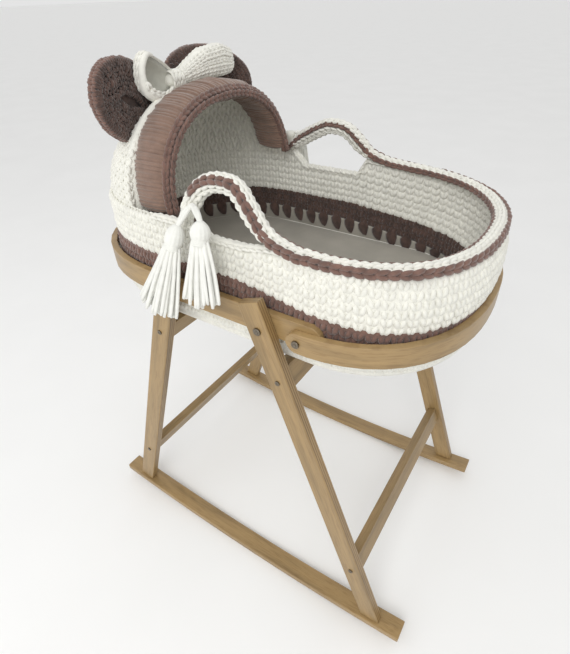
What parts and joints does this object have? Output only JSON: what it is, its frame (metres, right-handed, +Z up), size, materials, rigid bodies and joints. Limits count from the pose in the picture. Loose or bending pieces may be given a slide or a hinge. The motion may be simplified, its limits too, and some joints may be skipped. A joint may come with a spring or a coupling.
{
  "type": "bassinet on stand",
  "caption": "Crocheted Moses basket with a hood, ears, bow, handles and tassels, carried in the bentwood hoop of a wooden rocker stand.",
  "frame": {"origin": "centre of the bounding box in plan, on the plane the rockers stand on", "axes": "+X towards the foot end, -Y towards the near side, +Z up"},
  "size_m": [0.8, 0.591, 1.0303],
  "materials": {
    "stand_wood": "clear satin lacquer",
    "cross_wood": "clear satin lacquer",
    "hoop_wood": "clear satin lacquer on bent wood",
    "fastener_steel": "plain steel",
    "cream_yarn": "thick crocheted cotton yarn",
    "brown_yarn": "thick crocheted cotton yarn",
    "brown_wrap": "smooth wrapped yarn",
    "tassel_yarn": "loose yarn strands",
    "linen": "plain woven cover",
    "plywood": "plain plywood"
  },
  "bodies": {
    "stand": {"rocker_near": "stand_wood", "rocker_far": "stand_wood", "leg_head_near": "stand_wood", "leg_foot_near": "stand_wood", "leg_head_far": "stand_wood", "leg_foot_far": "stand_wood", "rail_head": "cross_wood", "rail_foot": "cross_wood", "stretcher_head": "cross_wood", "stretcher_foot": "cross_wood", "hoop_head": "hoop_wood", "hoop_foot": "hoop_wood", "hoop_bolt_head_near": "fastener_steel", "hoop_bolt_foot_near": "fastener_steel", "hoop_bolt_head_far": "fastener_steel", "hoop_bolt_foot_far": "fastener_steel", "lap_bolt_near": "fastener_steel", "lap_bolt_far": "fastener_steel", "rail_screw_head_near": "fastener_steel", "rail_screw_foot_near": "fastener_steel", "rail_screw_head_far": "fastener_steel", "rail_screw_foot_far": "fastener_steel", "stretcher_screw_head_near": "fastener_steel", "stretcher_screw_foot_near": "fastener_steel", "stretcher_screw_head_far": "fastener_steel", "stretcher_screw_foot_far": "fastener_steel"},
    "basket": {"basket_shell": "cream_yarn", "base_board": "plywood", "mattress": "linen", "rim": "cream_yarn", "handle_near": "cream_yarn", "handle_far": "cream_yarn", "hood_shell": "cream_yarn", "hood_roll": "brown_wrap", "hood_edging": "brown_yarn", "ear_near": "brown_yarn", "ear_far": "brown_yarn", "bow_near": "cream_yarn", "bow_far": "cream_yarn", "bow_knot": "cream_yarn"},
    "tassel_near_head": {"tassel_near_head": "tassel_yarn"},
    "tassel_near_foot": {"tassel_near_foot": "tassel_yarn"},
    "tassel_far_head": {"tassel_far_head": "tassel_yarn"},
    "tassel_far_foot": {"tassel_far_foot": "tassel_yarn"}
  },
  "joints": [
    {"name": "basket_lift", "type": "slide", "parent": "stand", "child": "basket", "axis": [0, 0, 1], "range_m": [0, 0.15]},
    {"name": "tassel_near_head_swing", "type": "hinge", "parent": "basket", "child": "tassel_near_head", "pos_m": [-0.046, -0.243, 0.838], "axis": [-1, 0, 0], "range_deg": [0, 60]},
    {"name": "tassel_near_foot_swing", "type": "hinge", "parent": "basket", "child": "tassel_near_foot", "pos_m": [0.004, -0.243, 0.846], "axis": [-1, 0, 0], "range_deg": [0, 60]},
    {"name": "tassel_far_head_swing", "type": "hinge", "parent": "basket", "child": "tassel_far_head", "pos_m": [-0.18, 0.243, 0.838], "axis": [1, 0, 0], "range_deg": [0, 60]},
    {"name": "tassel_far_foot_swing", "type": "hinge", "parent": "basket", "child": "tassel_far_foot", "pos_m": [-0.13, 0.243, 0.846], "axis": [1, 0, 0], "range_deg": [0, 60]}
  ]
}
